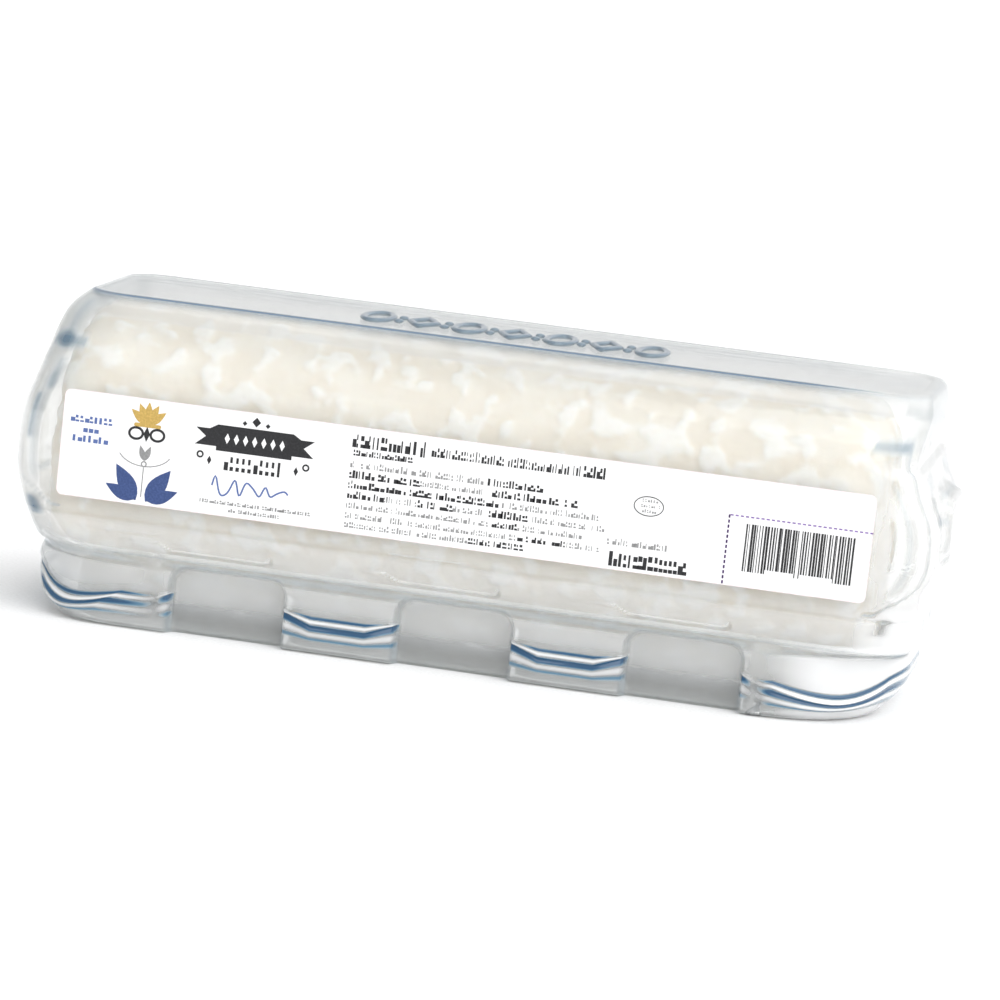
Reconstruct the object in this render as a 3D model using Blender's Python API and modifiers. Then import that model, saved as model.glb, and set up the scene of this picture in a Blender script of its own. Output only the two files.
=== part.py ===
"""A ripened goat cheese log in its shut clear box: log, lid, base tray and paper label.

Metres, +Z up, +X along the log. The origin is on the table, under the middle of the box.
The label faces -Y.
"""
import math

import bmesh
import bpy
from mathutils import Matrix, Vector, noise

# Whole box
WALL = 0.0006            # thickness of the formed sheet
GAP = 0.0003             # room between pieces that touch
PITCH = 0.057            # distance between the three recesses along a side
RECESS_WIDTH = 0.0270    # flat width of a recess
RECESS_SLOPE = 0.0016    # width of each sloping side of a recess
RECESS_DEPTH = 0.0045    # how far a recess lies behind the foot's upper wall
END_PANEL_HALF = 0.0160  # half width of the raised panel in each end wall
END_PANEL_SLOPE = 0.0035
END_PANEL_SHARES = (0.35, 0.70, 0.88)  # most of an end's straight part that its panel takes
CORNER_STEPS = 6         # straight steps in each rounded corner seen from above
END_STATIONS = 4         # points of a ring from the middle of an end to its corner

# Cheese log
LOG_RADIUS = 0.0377
LOG_LENGTH = 0.2055
LOG_SHIFT = -0.00435     # the log lies nearer the left end
LOG_EDGE = 0.0110        # rounding where the side meets an end
LOG_EDGE_STEPS = 3
LOG_LUMP = 0.00055       # height of the lumps in the rind
LOG_LUMP_SIZE = 0.0085   # width of one lump
LOG_FINE_SIZE = 0.0037   # width of the smaller lumps between them
LOG_COARSE_WEIGHT = 1.5
LOG_FINE_WEIGHT = 0.5
LOG_END_RINGS = (0.55, 0.30)  # radii of the rings in an end face, as shares of the log's
LOG_AROUND = 56
LOG_ALONG = 34

# Lid: height, left reach and corner radius, right reach and corner radius, half depth,
# share of the pockets' depth
LID_SECTIONS = (
    (0.0185, 0.1100, 0.0200, 0.1105, 0.0160, 0.0403, 0.0),
    (0.0204, 0.1107, 0.0180, 0.1110, 0.0160, 0.0402, 0.0),
    (0.0213, 0.1110, 0.0170, 0.1111, 0.0155, 0.0401, 1.0),
    (0.0256, 0.1126, 0.0145, 0.1111, 0.0145, 0.0401, 1.0),
    (0.0262, 0.1128, 0.0142, 0.1111, 0.0142, 0.0400, 0.5),
    (0.0268, 0.1130, 0.0135, 0.1110, 0.0135, 0.0394, 0.0),
    (0.0300, 0.1139, 0.0128, 0.1111, 0.0128, 0.0394, 0.0),
    (0.0335, 0.1150, 0.0120, 0.1115, 0.0120, 0.0394, 0.0),
    (0.0365, 0.1155, 0.0115, 0.1133, 0.0115, 0.0394, 0.0),
    (0.0400, 0.1155, 0.0110, 0.1143, 0.0110, 0.0394, 0.0),
    (0.0465, 0.1154, 0.0110, 0.1144, 0.0110, 0.0394, 0.0),
    (0.0505, 0.1150, 0.0110, 0.1138, 0.0110, 0.0394, 0.0),
    (0.0545, 0.1141, 0.0110, 0.1118, 0.0110, 0.0394, 0.0),
    (0.0580, 0.1128, 0.0112, 0.1101, 0.0112, 0.0394, 0.0),
    (0.0615, 0.1117, 0.0115, 0.1090, 0.0115, 0.0392, 0.0),
    (0.0636, 0.1111, 0.0117, 0.1073, 0.0117, 0.0390, 0.0),
    (0.0660, 0.1103, 0.0116, 0.1070, 0.0116, 0.0384, 0.0),
    (0.0700, 0.1094, 0.0112, 0.1077, 0.0112, 0.0367, 0.0),
    (0.0750, 0.1080, 0.0106, 0.1085, 0.0106, 0.0333, 0.0),
    (0.0775, 0.1064, 0.0102, 0.1084, 0.0102, 0.0303, 0.0),
    (0.0798, 0.1040, 0.0098, 0.1073, 0.0098, 0.0270, 0.0),
    (0.0806, 0.1024, 0.0090, 0.1058, 0.0090, 0.0247, 0.0),
)
# Raised panel in each end wall: full from here, full to here, reach, least reach it starts from
LID_LEFT_PANEL = (0.0335, 0.0545, 0.1160, 0.1130)
LID_RIGHT_PANEL = (0.0400, 0.0545, 0.1160, 0.1125)
LID_PANEL_FADE = 0.0035
POCKET_DEPTH = 0.0010    # snap pockets in the lid's skirt, one over each recess
POCKET_SHIFT = -0.0015   # the pockets sit slightly left of the recesses

# Tray: height, left reach and corner radius, right reach and corner radius, half depth,
# share of the recesses' depth
TRAY_SECTIONS = (
    (0.0196, 0.1089, 0.0190, 0.1090, 0.0165, 0.0391, 0.0),
    (0.0184, 0.1086, 0.0215, 0.1083, 0.0200, 0.0391, 0.0),
    (0.0166, 0.1088, 0.0245, 0.1076, 0.0260, 0.0391, 0.0),
    (0.0154, 0.1104, 0.0295, 0.1084, 0.0290, 0.0398, 0.25),
    (0.0140, 0.1106, 0.0280, 0.1092, 0.0300, 0.0398, 0.7),
    (0.0120, 0.1100, 0.0260, 0.1095, 0.0300, 0.0397, 1.0),
    (0.0094, 0.1089, 0.0210, 0.1092, 0.0300, 0.0396, 1.0),
    (0.0086, 0.1086, 0.0200, 0.1089, 0.0300, 0.0403, 1.12),
    (0.0070, 0.1077, 0.0180, 0.1080, 0.0300, 0.0405, 1.16),
    (0.0035, 0.1046, 0.0152, 0.1053, 0.0298, 0.0404, 1.14),
    (0.0013, 0.1026, 0.0145, 0.1030, 0.0290, 0.0398, 1.0),
    (0.0000, 0.1012, 0.0140, 0.1013, 0.0280, 0.0386, 0.85),
    (0.0000, 0.0930, 0.0110, 0.0930, 0.0190, 0.0310, 0.0),
)

# Label
LABEL_LENGTH = 0.2013
LABEL_LOW = 0.0311
LABEL_HIGH = 0.0575
LABEL_SHIFT = -0.0015
LABEL_CORNER = 0.0016
LABEL_THICKNESS = 0.0003
LABEL_CORNER_STEPS = 4

# Materials: colour, roughness, alpha
FINISHES = {
    "cheese_rind": ((0.87, 0.83, 0.74), 0.75, 1.0),
    "clear_lid": ((0.80, 0.86, 0.90), 0.12, 0.30),
    "clear_tray": ((0.72, 0.82, 0.88), 0.12, 0.35),
    "label_paper": ((0.95, 0.95, 0.95), 0.55, 1.0),
}


def clear_scene():
    for item in list(bpy.data.objects):
        bpy.data.objects.remove(item, do_unlink=True)


def make_material(name):
    colour, roughness, alpha = FINISHES[name]
    material = bpy.data.materials.new(name)
    material.use_nodes = True
    shader = material.node_tree.nodes["Principled BSDF"]
    shader.inputs["Base Color"].default_value = (*colour, 1.0)
    shader.inputs["Roughness"].default_value = roughness
    shader.inputs["Metallic"].default_value = 0.0
    shader.inputs["Alpha"].default_value = alpha
    return material


def add_object(name, data, collection, material):
    item = bpy.data.objects.new(name, data)
    item.data.materials.append(material)
    collection.objects.link(item)
    return item


def ramp(value, start, end):
    """0 before start, 1 after end, smooth between."""
    share = min(max((value - start) / (end - start), 0.0), 1.0)
    return share * share * (3.0 - 2.0 * share)


def recess_edges(shift):
    """Distances along a long side where the shape changes."""
    half = RECESS_WIDTH / 2
    stations = []
    for step in (-1, 0, 1):
        middle = step * PITCH + shift
        for edge in (-half - RECESS_SLOPE, -half, half, half + RECESS_SLOPE):
            stations.append(middle + edge)
    return stations


def recess_share(along, shift):
    """1 inside a recess or pocket, 0 between them."""
    half = RECESS_WIDTH / 2
    for step in (-1, 0, 1):
        distance = abs(along - step * PITCH - shift)
        if distance < half + RECESS_SLOPE:
            return 1.0 - ramp(distance, half, half + RECESS_SLOPE)
    return 0.0


def half_outline(section, stations):
    """Front half of a rounded rectangle seen from above, from the left end to the right end.

    A section starts with height, left reach and radius, right reach and radius, half depth.
    """
    left, left_radius, right, right_radius, depth = section[1:6]
    points = [(-left, 0.0)]
    points += [(-left, -reach) for reach in panel_ends(depth - left_radius)]
    for step in range(CORNER_STEPS + 1):
        points.append(corner_point(-left, left_radius, -depth, step))
    points += [(along, -depth) for along in stations]
    for step in reversed(range(CORNER_STEPS + 1)):
        points.append(corner_point(right, -right_radius, -depth, step))
    points += [(right, -reach) for reach in reversed(panel_ends(depth - right_radius))]
    points.append((right, 0.0))
    return points


def panel_ends(straight):
    """Distances from the middle of an end wall where its raised panel changes."""
    wanted = (END_PANEL_HALF / 2, END_PANEL_HALF, END_PANEL_HALF + END_PANEL_SLOPE)
    return [min(reach, share * straight) for reach, share in zip(wanted, END_PANEL_SHARES)]


def corner_point(end, radius, front, step):
    """A point of a rounded corner, counted from the end wall; a negative radius turns it round."""
    angle = math.pi / 2 * step / CORNER_STEPS
    return end + radius * (1 - math.cos(angle)), front + abs(radius) * (1 - math.sin(angle))


def full_ring(front):
    """Closes a front half with its mirror image."""
    back = [(x, -y, z) for x, y, z in front[1:-1]]
    return front + back[::-1]


def loft_shell(name, rings):
    """An open cup: a wall through the rings, closed by strips across the last ring."""
    shape = bmesh.new()
    levels = [[shape.verts.new(point) for point in ring] for ring in rings]
    count = len(rings[0])
    for upper, lower in zip(levels, levels[1:]):
        for index in range(count):
            following = (index + 1) % count
            shape.faces.new((upper[index], upper[following], lower[following], lower[index]))
    last = levels[-1]
    half = count // 2
    edge = END_STATIONS + 1
    shape.faces.new(last[-edge:] + last[:edge + 1])
    for index in range(edge, half - edge):
        shape.faces.new((last[index], last[index + 1], last[-index - 1], last[-index]))
    shape.faces.new(last[half - edge:half + edge + 1])
    bmesh.ops.recalc_face_normals(shape, faces=shape.faces)
    mesh = bpy.data.meshes.new(name)
    shape.to_mesh(mesh)
    shape.free()
    return mesh


def turn_outwards(mesh, lowest_is_outer):
    """Makes the cup's closing face point away from the inside of the box."""
    closing = max(mesh.polygons, key=lambda face: -face.center.z if lowest_is_outer else face.center.z)
    wanted = -1.0 if lowest_is_outer else 1.0
    if closing.normal.z * wanted < 0:
        mesh.flip_normals()


def add_wall(item):
    """Gives the open sheet its thickness, towards the inside of the box."""
    solidify = item.modifiers.new("Wall", "SOLIDIFY")
    solidify.thickness = WALL
    solidify.offset = -1.0
    solidify.use_even_offset = True
    solidify.use_quality_normals = True


def panel_rise(height, reach, panel):
    """How far an end wall's raised panel stands out of it at a height."""
    low, high, panel_reach, least = panel
    share = ramp(height, low - LID_PANEL_FADE, low) * (1.0 - ramp(height, high, high + LID_PANEL_FADE))
    return share * (panel_reach - max(reach, least))


def lid_ring(section):
    height, left, right, pocket = section[0], section[1], section[3], section[6]
    front = []
    for x, y in half_outline(section, recess_edges(POCKET_SHIFT)):
        y += POCKET_DEPTH * pocket * recess_share(x, POCKET_SHIFT)
        if abs(y) <= END_PANEL_HALF:
            if x < 0.0:
                x -= panel_rise(height, left, LID_LEFT_PANEL)
            else:
                x += panel_rise(height, right, LID_RIGHT_PANEL)
        front.append((x, y, height))
    return full_ring(front)


def make_lid(collection):
    mesh = loft_shell("lid", [lid_ring(section) for section in LID_SECTIONS])
    turn_outwards(mesh, lowest_is_outer=False)
    mesh.shade_smooth()
    item = add_object("lid", mesh, collection, make_material("clear_lid"))
    add_wall(item)
    return item


def tray_ring(section):
    height, share = section[0], section[6]
    front = []
    for x, y in half_outline(section, recess_edges(0.0)):
        y += RECESS_DEPTH * share * recess_share(x, 0.0)
        front.append((x, y, height))
    return full_ring(front)


def make_tray(collection):
    mesh = loft_shell("base_tray", [tray_ring(section) for section in TRAY_SECTIONS])
    turn_outwards(mesh, lowest_is_outer=True)
    mesh.shade_smooth()
    item = add_object("base_tray", mesh, collection, make_material("clear_tray"))
    add_wall(item)
    return item


def rind_lump(place):
    """Height of the rind's lumps at a place on the smooth log, never above LOG_LUMP."""
    coarse = noise.noise(place / LOG_LUMP_SIZE, noise_basis="PERLIN_ORIGINAL")
    fine = noise.noise(place / LOG_FINE_SIZE, noise_basis="PERLIN_ORIGINAL")
    return LOG_LUMP * max(-1.0, min(1.0, LOG_COARSE_WEIGHT * coarse + LOG_FINE_WEIGHT * fine))


def log_profile():
    """Distance along the log, radius and turn towards the end (0 to 1) of its rings, left to right."""
    half = LOG_LENGTH / 2
    straight = half - LOG_EDGE
    right_end = []
    for step in range(LOG_EDGE_STEPS + 1):
        angle = math.pi / 2 * step / LOG_EDGE_STEPS
        run, rise = math.sin(angle), math.cos(angle)
        right_end.append((straight + LOG_EDGE * run, LOG_RADIUS - LOG_EDGE * (1 - rise), run))
    right_end += [(half, LOG_RADIUS * share, 1.0) for share in LOG_END_RINGS]
    gap = 2 * straight / LOG_ALONG
    side = [(-straight + gap * step, LOG_RADIUS, 0.0) for step in range(1, LOG_ALONG)]
    left_end = [(-along, radius, -turn) for along, radius, turn in reversed(right_end)]
    return left_end + side + right_end


def make_log(collection):
    floor = TRAY_SECTIONS[-1][0] + WALL
    centre = Vector((LOG_SHIFT, 0.0, floor + GAP + LOG_RADIUS + LOG_LUMP))
    shape = bmesh.new()
    rings = []
    for along, radius, turn in log_profile():
        ring = []
        for step in range(LOG_AROUND):
            angle = 2 * math.pi * step / LOG_AROUND
            sideways = Vector((0.0, math.cos(angle), math.sin(angle)))
            place = Vector((along, 0.0, 0.0)) + sideways * radius
            outward = sideways * (1.0 - abs(turn)) + Vector((turn, 0.0, 0.0))
            place += outward.normalized() * rind_lump(place)
            ring.append(shape.verts.new(centre + place))
        rings.append(ring)
    for first, second in zip(rings, rings[1:]):
        for index in range(LOG_AROUND):
            following = (index + 1) % LOG_AROUND
            shape.faces.new((first[index], first[following], second[following], second[index]))
    for ring, side in ((rings[0], -1), (rings[-1], 1)):
        middle = shape.verts.new(centre + Vector((side * LOG_LENGTH / 2, 0.0, 0.0)))
        for index in range(LOG_AROUND):
            shape.faces.new((ring[index], ring[(index + 1) % LOG_AROUND], middle))
    bmesh.ops.recalc_face_normals(shape, faces=shape.faces)
    mesh = bpy.data.meshes.new("cheese_log")
    shape.to_mesh(mesh)
    shape.free()
    mesh.shade_smooth()
    return add_object("cheese_log", mesh, collection, make_material("cheese_rind"))


def make_label(collection):
    half_length = LABEL_LENGTH / 2
    half_height = (LABEL_HIGH - LABEL_LOW) / 2
    corners = ((1, 1, 0), (-1, 1, 90), (-1, -1, 180), (1, -1, 270))
    outline = []
    for across, up, start in corners:
        for step in range(LABEL_CORNER_STEPS + 1):
            angle = math.radians(start + 90 * step / LABEL_CORNER_STEPS)
            outline.append((
                across * (half_length - LABEL_CORNER) + LABEL_CORNER * math.cos(angle),
                up * (half_height - LABEL_CORNER) + LABEL_CORNER * math.sin(angle),
                0.0,
            ))
    curve = bpy.data.curves.new("label", "CURVE")
    curve.dimensions = "2D"
    curve.fill_mode = "BOTH"
    curve.extrude = LABEL_THICKNESS / 2
    spline = curve.splines.new("POLY")
    spline.points.add(len(outline) - 1)
    for point, place in zip(spline.points, outline):
        point.co = (*place, 1.0)
    spline.use_cyclic_u = True
    item = add_object("label", curve, collection, make_material("label_paper"))
    front_wall = max(section[5] for section in LID_SECTIONS if LABEL_LOW < section[0] < LABEL_HIGH)
    item.rotation_euler = Matrix.Rotation(math.radians(90), 3, "X").to_euler()
    item.location = (LABEL_SHIFT, -front_wall - GAP - LABEL_THICKNESS / 2, (LABEL_LOW + LABEL_HIGH) / 2)
    return item


def main():
    clear_scene()
    collection = bpy.data.collections.new("goat_cheese_log")
    bpy.context.scene.collection.children.link(collection)
    make_log(collection)
    make_tray(collection)
    make_lid(collection)
    make_label(collection)
    bpy.context.view_layer.update()


main()
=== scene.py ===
import math

import bmesh
import bpy
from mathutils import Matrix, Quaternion, Vector, noise


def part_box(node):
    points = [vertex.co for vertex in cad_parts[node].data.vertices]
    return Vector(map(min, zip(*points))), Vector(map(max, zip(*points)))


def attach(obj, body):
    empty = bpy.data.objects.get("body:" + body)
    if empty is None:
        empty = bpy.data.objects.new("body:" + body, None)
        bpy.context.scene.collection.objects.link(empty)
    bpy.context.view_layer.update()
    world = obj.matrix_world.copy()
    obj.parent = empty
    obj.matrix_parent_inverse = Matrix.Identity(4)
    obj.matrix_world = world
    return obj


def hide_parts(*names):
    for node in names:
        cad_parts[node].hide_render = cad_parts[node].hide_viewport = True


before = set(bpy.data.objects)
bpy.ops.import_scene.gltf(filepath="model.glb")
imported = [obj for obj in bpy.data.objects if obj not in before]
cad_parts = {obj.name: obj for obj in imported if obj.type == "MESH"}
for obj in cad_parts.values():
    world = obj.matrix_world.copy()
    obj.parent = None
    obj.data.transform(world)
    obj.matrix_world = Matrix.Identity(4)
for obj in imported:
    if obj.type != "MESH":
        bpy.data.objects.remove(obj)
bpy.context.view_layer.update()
print("frame loaded:", sorted(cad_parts))


# camera, floor and light
cameraSettings = {
    "target": (0.0, 0.0, 0.040),
    "yaw": 9.5,          # degrees round the box, to its right
    "elevation": 8.54,
    "distance": 1.328,
    "roll": 6.25,        # the photo shows the box turned clockwise by this much
    "lens": 191.2,
    "shift": (0.0053, -0.0081),
}
stageSettings = {
    "floorSize": 14.0,
    "floorColour": (0.98, 0.98, 0.98),
    "skyColour": (0.985, 0.99, 1.0),
    "skyLeft": 0.52,         # the sky's strength seen to the left, and to the right
    "skyRight": 1.22,
    "keyLight": ((0.9, -1.0, 1.5), 1.55),    # where each lamp stands, and its power
    "backLight": ((0.3, 1.0, 1.3), 0.3),
    "softness": 70.0,
    "seeThrough": 32,        # sheets of clear plastic that a ray may pass
}


def makeCamera():
    yaw = math.radians(cameraSettings["yaw"])
    elevation = math.radians(cameraSettings["elevation"])
    back = Vector((
        math.sin(yaw) * math.cos(elevation),
        -math.cos(yaw) * math.cos(elevation),
        math.sin(elevation),
    ))
    camera = bpy.data.objects.new("camera", bpy.data.cameras.new("camera"))
    bpy.context.scene.collection.objects.link(camera)
    camera.location = Vector(cameraSettings["target"]) + back * cameraSettings["distance"]
    camera.rotation_mode = "QUATERNION"
    roll = Quaternion((0.0, 0.0, 1.0), math.radians(cameraSettings["roll"]))
    camera.rotation_quaternion = (-back).to_track_quat("-Z", "Y") @ roll
    camera.data.lens = cameraSettings["lens"]
    camera.data.shift_x, camera.data.shift_y = cameraSettings["shift"]
    bpy.context.scene.camera = camera


def makeSun(name):
    # a far lamp, so that it lights the floor evenly; softness is its width in degrees
    place, power = stageSettings[name]
    data = bpy.data.lights.new(name, "SUN")
    data.energy = power
    data.angle = math.radians(stageSettings["softness"])
    light = bpy.data.objects.new(name, data)
    bpy.context.scene.collection.objects.link(light)
    light.rotation_mode = "QUATERNION"
    light.rotation_quaternion = (-Vector(place)).to_track_quat("-Z", "Y")


def makeSky():
    # an even pale sky, dimmer towards the left of the box
    world = bpy.data.worlds.new("softSky")
    world.use_nodes = True
    nodes, links = world.node_tree.nodes, world.node_tree.links
    direction = nodes.new("ShaderNodeTexCoord")
    parts = nodes.new("ShaderNodeSeparateXYZ")
    dimming = nodes.new("ShaderNodeMapRange")
    dimming.inputs["From Min"].default_value = -1.0
    dimming.inputs["To Min"].default_value = stageSettings["skyLeft"]
    dimming.inputs["To Max"].default_value = stageSettings["skyRight"]
    links.new(direction.outputs["Generated"], parts.inputs[0])
    links.new(parts.outputs["X"], dimming.inputs["Value"])
    links.new(dimming.outputs[0], nodes["Background"].inputs["Strength"])
    nodes["Background"].inputs["Color"].default_value = (*stageSettings["skyColour"], 1.0)
    bpy.context.scene.world = world


# shader maths
class Val:
    # wraps a shader socket, so that maths on it reads as plain expressions

    def __init__(self, nodes, socket):
        self.nodes = nodes
        self.socket = socket

    def maths(self, operation, *values):
        return self.nodes.add("ShaderNodeMath", {"operation": operation}, dict(enumerate(values)))

    def __add__(self, other):
        return self.maths("ADD", self, other)

    def __mul__(self, other):
        return self.maths("MULTIPLY", self, other)

    def __sub__(self, other):
        return self.maths("SUBTRACT", self, other)

    def __rsub__(self, other):
        return self.maths("SUBTRACT", other, self)

    def __pow__(self, other):
        return self.maths("POWER", self, other)

    __radd__ = __add__
    __rmul__ = __mul__

    def clamp(self):
        return self.nodes.add("ShaderNodeClamp", {}, {"Value": self})

    def ramp(self, low, high):
        values = {"Value": self, "From Min": low, "From Max": high}
        return self.nodes.add("ShaderNodeMapRange", {"interpolation_type": "SMOOTHSTEP"}, values)


class Graph:
    # a node tree of a material or of Geometry Nodes

    def __init__(self, tree):
        self.tree = tree
        self.tree.nodes.clear()

    def add(self, kind, settings=None, values=None, out=0):
        node = self.tree.nodes.new(kind)
        for key, value in (settings or {}).items():
            if key == "stops":
                stops = node.color_ramp.elements
                while len(stops) < len(value):
                    stops.new(0.5)
                for stop, (position, colour) in zip(stops, value):
                    stop.position = position
                    stop.color = (*colour, 1.0)
            else:
                setattr(node, key, value)
        for key, value in (values or {}).items():
            socket = node.inputs[key]
            if isinstance(value, Val):
                self.tree.links.new(value.socket, socket)
            elif isinstance(value, tuple) and len(value) == 3 and socket.type == "RGBA":
                socket.default_value = (*value, 1.0)
            else:
                socket.default_value = value
        return Val(self, node.outputs[out])


class Surface(Graph):
    # one material and the nodes in it

    def __init__(self, name):
        self.material = bpy.data.materials.new(name)
        self.material.use_nodes = True
        super().__init__(self.material.node_tree)
        self.output = self.tree.nodes.new("ShaderNodeOutputMaterial")

    def place(self):
        return self.add("ShaderNodeTexCoord", out="Object")

    def attribute(self, name):
        return self.add("ShaderNodeAttribute", {"attribute_name": name}, out="Fac")

    def grain(self, size, detail=3.0, rough=0.5):
        # noise whose features are about this many metres wide
        values = {"Vector": self.place(), "Scale": 1.0 / size, "Detail": detail, "Roughness": rough}
        return self.add("ShaderNodeTexNoise", {}, values, out="Fac")

    def blend(self, share, first, second):
        # Mix has a set of sockets for each data type: the colour ones are 6 and 7, and the result is 2
        settings = {"data_type": "RGBA"}
        return self.add("ShaderNodeMix", settings, {0: share, 6: first, 7: second}, out=2)

    def bump(self, height, distance, strength=1.0):
        values = {"Height": height, "Distance": distance, "Strength": strength}
        return self.add("ShaderNodeBump", {}, values)

    def show(self, shader):
        self.tree.links.new(shader.socket, self.output.inputs["Surface"])
        return self.material


def rindFinish():
    rind = Surface("bloomyRind")
    lump = rind.attribute("lump")
    patch = rind.grain(logSettings["patchSize"], 2.0)
    fine = rind.grain(logSettings["grainSize"], 4.0)
    ground = rind.blend(patch.ramp(0.35, 0.7), *logSettings["ground"])
    bloom = rind.blend(fine.ramp(0.35, 0.75), *logSettings["bloom"])
    colour = rind.blend((lump + 0.35 * (fine - 0.5)).clamp(), ground, bloom)
    normal = rind.bump(fine, 0.0003, 0.35)
    return rind.show(rind.add("ShaderNodeBsdfPrincipled", {}, {
        "Base Color": colour,
        "Roughness": 0.8 - 0.15 * fine,
        "Normal": normal,
        "Subsurface Weight": 0.15,
        "Subsurface Radius": (0.004, 0.003, 0.002),
        "Subsurface Scale": 1.0,
    }))


def plasticFinish(name, clearTint, milk, stops):
    # clear formed sheet, nearly see-through face on: painted shade, dark blue-grey, where its tone is
    # above 0, and painted light, near white, where its tone is below 0; it is also darker and less clear
    # towards grazing edges
    sheet = Surface(name)
    tone = sheet.attribute("tone")
    dark, paintedLight = tone.clamp(), (0.0 - tone).clamp()
    facing = sheet.add("ShaderNodeLayerWeight", {}, {"Blend": 0.25}, out="Facing")
    wave = sheet.grain(0.018, 2.0)
    normal = sheet.bump(wave, 0.0009, 0.3)
    shade = (dark + 0.25 * facing).clamp()
    # the stops give the colour of the painted shade, from none to darkest
    colour = sheet.add("ShaderNodeValToRGB", {"stops": stops}, {"Fac": shade}, out="Color")
    # painted light blends the colour towards near white
    colour = sheet.blend(paintedLight.ramp(0.0, 0.25), colour, (0.97, 0.975, 0.98))
    body = sheet.add("ShaderNodeBsdfPrincipled", {}, {
        "Base Color": colour,
        "Roughness": 0.16,
        "Normal": normal,
    })
    clear = sheet.add("ShaderNodeBsdfTransparent", {}, {"Color": clearTint})
    share = (milk + 0.9 * dark + paintedLight + 0.35 * facing ** 2.0).clamp()
    filled = sheet.add("ShaderNodeMixShader", {}, {0: share, 1: clear, 2: body})
    mirror = sheet.add("ShaderNodeBsdfPrincipled", {}, {
        "Base Color": (1.0, 1.0, 1.0),
        "Metallic": 1.0,
        "Roughness": 0.05,
        "Normal": normal,
    })
    fresnel = sheet.add("ShaderNodeFresnel", {}, {"IOR": 1.5, "Normal": normal})
    shine = (0.55 * fresnel).clamp()
    return sheet.show(sheet.add("ShaderNodeMixShader", {}, {0: shine, 1: filled, 2: mirror}))


def paperFinish(name, colour, roughness):
    paper = Surface(name)
    speck = paper.grain(0.0009, 3.0)
    darker = tuple(0.93 * part for part in colour)
    return paper.show(paper.add("ShaderNodeBsdfPrincipled", {}, {
        "Base Color": paper.blend(speck.ramp(0.3, 0.7), darker, colour),
        "Roughness": roughness,
        "Normal": paper.bump(speck, 0.00004, 0.2),
    }))


def inkFinish(name, colour):
    ink = Surface(name)
    speck = ink.grain(0.0005, 2.0)
    lighter = tuple(min(1.0, 1.25 * part + 0.01) for part in colour)
    return ink.show(ink.add("ShaderNodeBsdfPrincipled", {}, {
        "Base Color": ink.blend(speck.ramp(0.35, 0.75), colour, lighter),
        "Roughness": 0.5,
    }))


# Geometry Nodes helper
class Pattern(Graph):
    # a Geometry Nodes tree that takes a mesh and named sizes, and gives one plain mesh

    def __init__(self, name):
        super().__init__(bpy.data.node_groups.new(name, "GeometryNodeTree"))
        self.tree.interface.new_socket("Geometry", in_out="INPUT", socket_type="NodeSocketGeometry")
        self.tree.interface.new_socket("Geometry", in_out="OUTPUT", socket_type="NodeSocketGeometry")
        self.inlet = self.tree.nodes.new("NodeGroupInput")
        self.outlet = self.tree.nodes.new("NodeGroupOutput")
        self.start = Val(self, self.inlet.outputs[0])

    def size(self, name, kind="NodeSocketFloat"):
        self.tree.interface.new_socket(name, in_out="INPUT", socket_type=kind)
        return Val(self, self.inlet.outputs[name])

    def stored(self, name):
        return self.add("GeometryNodeInputNamedAttribute", {"data_type": "FLOAT"}, {"Name": name})

    def random(self, low, high, seed):
        # a float Random Value has its limits at sockets 2 and 3, and its result at 1
        settings = {"data_type": "FLOAT"}
        return self.add("FunctionNodeRandomValue", settings, {2: low, 3: high, "Seed": seed}, out=1)

    def give(self, shape, material):
        shape = self.add("GeometryNodeRealizeInstances", {}, {"Geometry": shape})
        shape = self.add("GeometryNodeSetMaterial", {}, {"Geometry": shape, "Material": material})
        self.tree.links.new(shape.socket, self.outlet.inputs[0])

    def apply(self, name, seedMesh, sizes):
        # runs the tree on a mesh and returns its result as a plain object
        carrier = bpy.data.objects.new(name + "Seed", seedMesh)
        bpy.context.scene.collection.objects.link(carrier)
        runner = carrier.modifiers.new("Pattern", "NODES")
        runner.node_group = self.tree
        for item in self.tree.interface.items_tree:
            if item.in_out == "INPUT" and item.name in sizes:
                runner[item.identifier] = sizes[item.name]
        ready = carrier.evaluated_get(bpy.context.evaluated_depsgraph_get())
        mesh = bpy.data.meshes.new_from_object(ready)
        bpy.data.objects.remove(carrier)
        piece = bpy.data.objects.new(name, mesh)
        mesh.name = name
        bpy.context.scene.collection.objects.link(piece)
        return piece


# mesh helpers
def smooth(value, low, high):
    share = min(max((value - low) / (high - low), 0.0), 1.0)
    return share * share * (3.0 - 2.0 * share)


def between(value, limits):
    # 0 outside the outer two limits, 1 between the inner two
    start, first, last, end = limits
    return smooth(value, start, first) * smooth(value, end, last)


def mixed(first, second, share):
    return first + (second - first) * share


def roundedRows(rows, times):
    # cuts the corners of a table's rows, so that the profile through them is rounded
    for _ in range(times):
        cut = [rows[0]]
        for one, two in zip(rows, rows[1:]):
            cut.append(tuple(mixed(a, b, 0.25) for a, b in zip(one, two)))
            cut.append(tuple(mixed(a, b, 0.75) for a, b in zip(one, two)))
        rows = cut + [rows[-1]]
    return rows


def roundedBox(across, up, halfAcross, halfUp, corner, slope):
    # 1 inside a rounded rectangle, 0 further than slope from it
    over = (abs(across) - halfAcross + corner, abs(up) - halfUp + corner)
    outside = math.hypot(max(over[0], 0.0), max(over[1], 0.0)) + min(max(over), 0.0) - corner
    return 1.0 - smooth(outside, 0.0, slope)


def addPiece(name, vertices, faces, material, tones=None, attribute="tone"):
    mesh = bpy.data.meshes.new(name)
    mesh.from_pydata(vertices, [], faces)
    if tones:
        mesh.attributes.new(attribute, "FLOAT", "POINT").data.foreach_set("value", tones)
    mesh.materials.append(material)
    mesh.shade_smooth()
    piece = bpy.data.objects.new(name, mesh)
    bpy.context.scene.collection.objects.link(piece)
    return piece


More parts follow.
